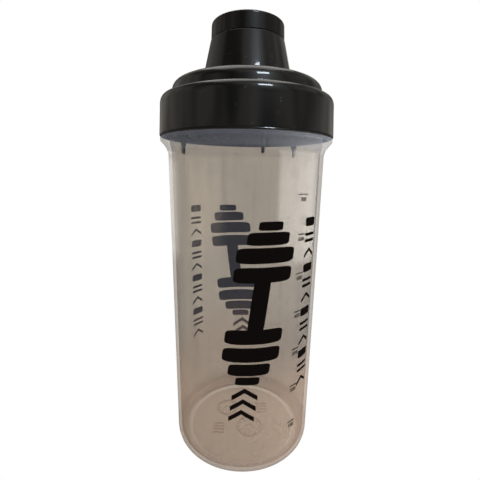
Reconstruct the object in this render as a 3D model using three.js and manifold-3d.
// Protein shaker bottle: a translucent cup with a threaded neck, a black screw lid with a conical
// spout, a screw cap on the spout, a loose strainer in the neck and a soft seal under each cover.
// Millimetres, +Z up, origin at the centre of the foot. The printed side faces -Y.

import * as THREE from 'three';
import { mergeVertices } from 'three/addons/utils/BufferGeometryUtils.js';
import Module from 'manifold-3d';

const wasm = await Module();
wasm.setup();

// ---- driving dimensions -------------------------------------------------------------------

const SEGMENTS = 48; // facets round the axis; a multiple of four keeps the box centred
const CURVE_STEPS = 4; // straight steps in each curved stretch of an outline
const GAP = 0.3; // air between neighbouring pieces
const BITE = 0.3; // how far a joined detail is sunk into its wall

// cup
const FOOT_OUTER_R = 34.4;
const FOOT_INNER_R = 31.0;
const FOOT_RECESS = 1.6;
const BASE_R = 39.8;
const BASE_ROUND = 5.2;
const BASE_BEND_R = 39.6; // where the foot's and the wall's lines would meet
const FLOOR_TOP = 3.4;
const FLOOR_DISC_R = 31.8;
const FLOOR_TROUGH = 1.8;
const BODY_WALL = 1.8;
const BODY_TOP = { r: 42.8, z: 166 };
const FLARE_BEND = { r: 43.2, z: 169.8 };
const BORE_STEP = { bottom: 168.0, top: 172.0 }; // where the inside widens from body to neck
const COLLAR = { r: 46.95, bottom: 173.3, top: 175.2 };
const NECK = { r: 43.4, bore: 41.9, top: 191.9, bevel: 0.5 };
const GUIDE = { bottom: 167.6, top: 172.6, halfGap: 0.9, rib: 0.6, tipR: 39.9 };
const GUIDE_ANGLES = [10.7, 130.7, 250.7]; // degrees from the front towards +X

// lid
const SKIRT = { bottomR: 47.3, topR: 46.7, bore: 45.1, top: 190.4 };
const SHOULDER = { r: 43.2, z: 196.0, bendZ: 195.4 };
const CEILING = 194.0;
const PLUG = { outer: 40.7, inner: 38.9, bottom: 189.3 };
const DOME = { footR: 40.9, footZ: 196.4, wallR: 40.5, wallTop: 199.0, cornerR: 36.2, cornerZ: 203.8 };
const DOME_BEND = { r: 39.9, z: 203.0 };
const DOME_INNER = { r: 38.2, bottom: 194.6 };
const LID_WALL = 1.9;
const SPOUT_FOOT = { r: 24.2, z: 206.0 };
const SPOUT_TOP = { r: 19.9, z: 225.5 };
const SPOUT_INSIDE = { footZ: 204.8, topZ: 222.5, mouthZ: 224.0 };
const MOUTH = { r: 16.4, bore: 14.6, top: 230.6 };

// spout cap
const CAP = { bottomR: 19.6, topR: 19.3, bore: 17.75, top: 234.3, round: 1.0, ceiling: 232.2 };
const CAP_DISH = { r: 15.5, depth: 0.5 };

// strainer
const SIEVE = { outer: 41.5, inner: 39.6, bottom: 176.2, plate: 1.6, top: 188.8 };
const SIEVE_LEG = { bottom: 165.8, inner: 39.3, outer: 40.6, halfWidth: 0.6 };
const SIEVE_SHOULDER = { outer: 40.9, halfWidth: 1.7 };
const SLOT_ROWS = 5;
const SLOT_SPOKES = 6;
const SLOT_FIRST_R = 6.2;
const SLOT_PITCH = 6.4;
const SLOT_WIDTH = 2.6;
const SPOKE_WIDTH = 2.4;

// seals
const LID_SEAL = { inner: 41.1, outer: 44.4 };
const CAP_SEAL_R = 17.2;

// screw threads: lead is the rise in one turn, root and crest are the ridge's widths
const THREAD_FADE = 3; // facets over which each end of a ridge runs out
const LID_THREAD = { lead: 6.0, root: 2.2, crest: 1.0, neckCrestR: 44.7, lidCrestR: 43.75 };
const LID_THREAD_RUN = { start: 179.5, neckTurns: 1.5, lidTurns: 1.25, lidDrop: 2.3 };
const CAP_THREAD = { lead: 2.4, root: 1.1, crest: 0.5, mouthCrestR: 17.3, capCrestR: 16.75 };
const CAP_THREAD_RUN = { start: 226.4, mouthTurns: 1.375, capFrom: 0.5625, capTo: 1.6, capDrop: 1.2 };

// ---- helpers ------------------------------------------------------------------------------

// A closed three.js geometry as a solid, with its faces turned outwards.
function solidFrom(geometry) {
  const bare = geometry.clone();
  bare.deleteAttribute('normal');
  bare.deleteAttribute('uv');
  const merged = mergeVertices(bare, 1e-4);
  const position = merged.attributes.position;
  const corners = [0, 1, 2].map(() => new THREE.Vector3());
  const triangles = [];
  let volume = 0;
  for (let i = 0; i < merged.index.count; i += 3) {
    const face = [0, 1, 2].map((k) => merged.index.getX(i + k));
    if (new Set(face).size < 3) continue;
    corners.forEach((corner, k) => corner.fromBufferAttribute(position, face[k]));
    volume += corners[0].dot(corners[1].clone().cross(corners[2]));
    triangles.push(face);
  }
  const outward = volume > 0 ? triangles : triangles.map(([a, b, c]) => [a, c, b]);
  const mesh = new wasm.Mesh({
    numProp: 3,
    vertProperties: new Float32Array(position.array),
    triVerts: new Uint32Array(outward.flat()),
  });
  mesh.merge();
  return new wasm.Manifold(mesh);
}

// A solid back as three.js geometry.
function geometryFrom(solid) {
  const mesh = solid.getMesh();
  const geometry = new THREE.BufferGeometry();
  geometry.setAttribute('position', new THREE.BufferAttribute(mesh.vertProperties, 3));
  geometry.setIndex(new THREE.BufferAttribute(mesh.triVerts, 1));
  geometry.computeVertexNormals();
  return geometry;
}

// An outline of radius and height, turned round the Z axis.
function revolve(outline, steps = CURVE_STEPS) {
  const points = outline.getPoints(steps);
  return solidFrom(new THREE.LatheGeometry(points, SEGMENTS).rotateX(Math.PI / 2));
}

// A ring of rectangular section.
function ring(inner, outer, bottom, top) {
  const outline = new THREE.Path()
    .moveTo(inner, bottom)
    .lineTo(outer, bottom)
    .lineTo(outer, top)
    .lineTo(inner, top)
    .lineTo(inner, bottom);
  return revolve(outline);
}

// A block that stands on a radius: it runs from inner to outer along that radius, and its
// middle is at side to the left of it. The angle is counted from the front towards +X.
function radialBlock(angle, { inner, outer, bottom, top, halfWidth, side = 0 }) {
  const block = new THREE.BoxGeometry(outer - inner, 2 * halfWidth, top - bottom);
  block.translate((inner + outer) / 2, side, (bottom + top) / 2);
  block.rotateZ(THREE.MathUtils.degToRad(angle - 90));
  return solidFrom(block);
}

// One ridge of a screw thread: a trapezium carried up a helix from turn `from` to turn `to`,
// whose height fades out over the first and last few steps.
function threadRidge({ wallR, crestR, root, crest, lead, start, from, to }) {
  const steps = Math.round((to - from) * SEGMENTS);
  const outward = Math.sign(crestR - wallR);
  const baseR = wallR - outward * BITE;
  const positions = [];
  const faces = [];
  for (let i = 0; i <= steps; i += 1) {
    const turn = from + i / SEGMENTS;
    const angle = turn * 2 * Math.PI;
    const z = start + lead * turn;
    const height = Math.min(1, i / THREAD_FADE, (steps - i) / THREAD_FADE);
    const tipR = THREE.MathUtils.lerp((baseR + wallR) / 2, crestR, height);
    const section = [
      [baseR, z - root / 2],
      [tipR, z - crest / 2],
      [tipR, z + crest / 2],
      [baseR, z + root / 2],
    ];
    section.forEach(([r, h]) => positions.push(r * Math.sin(angle), -r * Math.cos(angle), h));
  }
  for (let i = 0; i < steps; i += 1) {
    for (let k = 0; k < 4; k += 1) {
      const a = 4 * i + k;
      const b = 4 * i + ((k + 1) % 4);
      faces.push(a, b, b + 4, a, b + 4, a + 4);
    }
  }
  const last = 4 * steps;
  faces.push(0, 2, 1, 0, 3, 2);
  faces.push(last, last + 1, last + 2, last, last + 2, last + 3);
  const geometry = new THREE.BufferGeometry();
  geometry.setAttribute('position', new THREE.Float32BufferAttribute(positions, 3));
  geometry.setIndex(faces);
  return solidFrom(geometry);
}

// ---- the pieces ---------------------------------------------------------------------------

// Cup: tapered body on a foot ring, flaring into a collar, with the threaded neck above it
// and three pairs of guide ribs inside for the strainer's legs.
function makeCup() {
  const innerBase = BASE_R - BODY_WALL;
  const innerRound = BASE_ROUND - BODY_WALL;
  const outline = new THREE.Path()
    .moveTo(0, FOOT_RECESS)
    .lineTo(FOOT_INNER_R - FOOT_RECESS, FOOT_RECESS)
    .lineTo(FOOT_INNER_R, 0)
    .lineTo(FOOT_OUTER_R, 0)
    .quadraticCurveTo(BASE_BEND_R, 0, BASE_R, BASE_ROUND)
    .lineTo(BODY_TOP.r, BODY_TOP.z)
    .quadraticCurveTo(FLARE_BEND.r, FLARE_BEND.z, COLLAR.r, COLLAR.bottom)
    .lineTo(COLLAR.r, COLLAR.top)
    .lineTo(NECK.r, COLLAR.top)
    .lineTo(NECK.r, NECK.top - NECK.bevel)
    .lineTo(NECK.r - NECK.bevel, NECK.top)
    .lineTo(NECK.bore, NECK.top)
    .lineTo(NECK.bore, BORE_STEP.top)
    .lineTo(BODY_TOP.r - BODY_WALL, BORE_STEP.bottom)
    .lineTo(innerBase, BASE_ROUND)
    .quadraticCurveTo(innerBase, FLOOR_TROUGH, innerBase - innerRound, FLOOR_TROUGH)
    .lineTo(FLOOR_DISC_R + FLOOR_TOP - FLOOR_TROUGH, FLOOR_TROUGH)
    .lineTo(FLOOR_DISC_R, FLOOR_TOP)
    .lineTo(0, FLOOR_TOP);
  const thread = threadRidge({
    ...LID_THREAD,
    wallR: NECK.r,
    crestR: LID_THREAD.neckCrestR,
    start: LID_THREAD_RUN.start,
    from: 0,
    to: LID_THREAD_RUN.neckTurns,
  });
  let cup = revolve(outline).add(thread);
  for (const angle of GUIDE_ANGLES) {
    for (const hand of [-1, 1]) {
      const rib = radialBlock(angle, {
        inner: GUIDE.tipR,
        outer: NECK.bore + BITE,
        bottom: GUIDE.bottom,
        top: GUIDE.top,
        halfWidth: GUIDE.rib / 2,
        side: hand * (GUIDE.halfGap + GUIDE.rib / 2),
      });
      cup = cup.add(rib);
    }
  }
  return cup;
}

// Lid: threaded skirt, rounded shoulder, low dome, conical spout and threaded mouth, all one
// moulding. The plug ring under it enters the neck and holds the seal.
function makeLid() {
  const outline = new THREE.Path()
    .moveTo(SKIRT.bore, COLLAR.top + GAP)
    .lineTo(SKIRT.bottomR, COLLAR.top + GAP)
    .lineTo(SKIRT.topR, SKIRT.top)
    .quadraticCurveTo(SKIRT.topR, SHOULDER.bendZ, SHOULDER.r, SHOULDER.z)
    .lineTo(DOME.footR, DOME.footZ)
    .lineTo(DOME.wallR, DOME.wallTop)
    .quadraticCurveTo(DOME_BEND.r, DOME_BEND.z, DOME.cornerR, DOME.cornerZ)
    .lineTo(SPOUT_FOOT.r, SPOUT_FOOT.z)
    .lineTo(SPOUT_TOP.r, SPOUT_TOP.z)
    .lineTo(MOUTH.r, SPOUT_TOP.z)
    .lineTo(MOUTH.r, MOUTH.top)
    .lineTo(MOUTH.bore, MOUTH.top)
    .lineTo(MOUTH.bore, SPOUT_INSIDE.mouthZ)
    .lineTo(SPOUT_TOP.r - LID_WALL, SPOUT_INSIDE.topZ)
    .lineTo(SPOUT_FOOT.r - LID_WALL, SPOUT_INSIDE.footZ)
    .lineTo(DOME.cornerR, DOME.cornerZ - LID_WALL)
    .lineTo(DOME_INNER.r, DOME.wallTop)
    .lineTo(DOME_INNER.r, DOME_INNER.bottom)
    .lineTo(PLUG.inner, CEILING)
    .lineTo(PLUG.inner, PLUG.bottom)
    .lineTo(PLUG.outer, PLUG.bottom)
    .lineTo(PLUG.outer, CEILING)
    .lineTo(SKIRT.bore, CEILING)
    .lineTo(SKIRT.bore, COLLAR.top + GAP);
  const skirtThread = threadRidge({
    ...LID_THREAD,
    wallR: SKIRT.bore,
    crestR: LID_THREAD.lidCrestR,
    start: LID_THREAD_RUN.start - LID_THREAD_RUN.lidDrop,
    from: 0,
    to: LID_THREAD_RUN.lidTurns,
  });
  const mouthThread = threadRidge({
    ...CAP_THREAD,
    wallR: MOUTH.r,
    crestR: CAP_THREAD.mouthCrestR,
    start: CAP_THREAD_RUN.start,
    from: 0,
    to: CAP_THREAD_RUN.mouthTurns,
  });
  return revolve(outline).add(skirtThread).add(mouthThread);
}

// Spout cap: short round cover with a shallow dish on top and a thread inside.
function makeSpoutCap() {
  const outline = new THREE.Path()
    .moveTo(CAP.bore, SPOUT_TOP.z + GAP)
    .lineTo(CAP.bottomR, SPOUT_TOP.z + GAP)
    .lineTo(CAP.topR, CAP.top - CAP.round)
    .quadraticCurveTo(CAP.topR, CAP.top, CAP.topR - CAP.round, CAP.top)
    .lineTo(CAP_DISH.r + CAP_DISH.depth, CAP.top)
    .lineTo(CAP_DISH.r, CAP.top - CAP_DISH.depth)
    .lineTo(0, CAP.top - CAP_DISH.depth)
    .lineTo(0, CAP.ceiling)
    .lineTo(CAP.bore, CAP.ceiling)
    .lineTo(CAP.bore, SPOUT_TOP.z + GAP);
  const thread = threadRidge({
    ...CAP_THREAD,
    wallR: CAP.bore,
    crestR: CAP_THREAD.capCrestR,
    start: CAP_THREAD_RUN.start - CAP_THREAD_RUN.capDrop,
    from: CAP_THREAD_RUN.capFrom,
    to: CAP_THREAD_RUN.capTo,
  });
  return revolve(outline).add(thread);
}

// One curved slot of the strainer plate, from angle a to angle b, as a hole in its outline.
function slotHole(inner, outer, a, b) {
  const hole = new THREE.Path();
  hole.absarc(0, 0, outer, a, b, false);
  hole.absarc(0, 0, inner, b, a, true);
  return hole;
}

// Strainer: a ring with a slotted floor, standing by three legs in the cup's guide ribs.
function makeStrainer() {
  const disc = new THREE.Shape();
  disc.absarc(0, 0, SIEVE.inner + BITE, 0, 2 * Math.PI, false);
  for (let row = 0; row < SLOT_ROWS; row += 1) {
    const inner = SLOT_FIRST_R + row * SLOT_PITCH;
    const outer = inner + SLOT_WIDTH;
    const spoke = SPOKE_WIDTH / 2 / inner;
    for (let k = 0; k < SLOT_SPOKES; k += 1) {
      const a = (k / SLOT_SPOKES) * 2 * Math.PI + spoke;
      const b = ((k + 1) / SLOT_SPOKES) * 2 * Math.PI - spoke;
      disc.holes.push(slotHole(inner, outer, a, b));
    }
  }
  const plate = new THREE.ExtrudeGeometry(disc, {
    depth: SIEVE.plate,
    bevelEnabled: false,
    curveSegments: 2 * CURVE_STEPS,
    steps: 1,
  });
  plate.translate(0, 0, SIEVE.bottom);
  let strainer = ring(SIEVE.inner, SIEVE.outer, SIEVE.bottom, SIEVE.top).add(solidFrom(plate));
  for (const angle of GUIDE_ANGLES) {
    const leg = radialBlock(angle, { ...SIEVE_LEG, top: SIEVE.bottom + SIEVE.plate });
    const shoulder = radialBlock(angle, {
      ...SIEVE_SHOULDER,
      inner: SIEVE_LEG.inner,
      bottom: GUIDE.top + GAP,
      top: SIEVE.bottom + SIEVE.plate,
    });
    strainer = strainer.add(leg).add(shoulder);
  }
  return strainer;
}

// Seal of the lid: a flat ring between the neck's rim and the lid's ceiling.
function makeLidSeal() {
  return ring(LID_SEAL.inner, LID_SEAL.outer, NECK.top + GAP, CEILING - GAP);
}

// Seal of the cap: a flat disc over the mouth.
function makeCapSeal() {
  const outline = new THREE.Path()
    .moveTo(0, MOUTH.top + GAP)
    .lineTo(CAP_SEAL_R, MOUTH.top + GAP)
    .lineTo(CAP_SEAL_R, CAP.ceiling - GAP)
    .lineTo(0, CAP.ceiling - GAP);
  return revolve(outline);
}

// ---- assembly -----------------------------------------------------------------------------

const clearPlastic = { color: 0xb9b0a2, roughness: 0.32, metalness: 0 };
const blackPlastic = { color: 0x14130f, roughness: 0.28, metalness: 0 };
const silicone = { color: 0xc9c9c6, roughness: 0.7, metalness: 0 };

const pieces = {
  cup: [makeCup, clearPlastic],
  strainer: [makeStrainer, blackPlastic],
  lid_gasket: [makeLidSeal, silicone],
  lid: [makeLid, blackPlastic],
  cap_gasket: [makeCapSeal, silicone],
  spout_cap: [makeSpoutCap, blackPlastic],
};

const bottle = new THREE.Group();
for (const [name, [make, finish]] of Object.entries(pieces)) {
  const mesh = new THREE.Mesh(geometryFrom(make()), new THREE.MeshStandardMaterial(finish));
  mesh.name = name;
  bottle.add(mesh);
}

export default bottle;
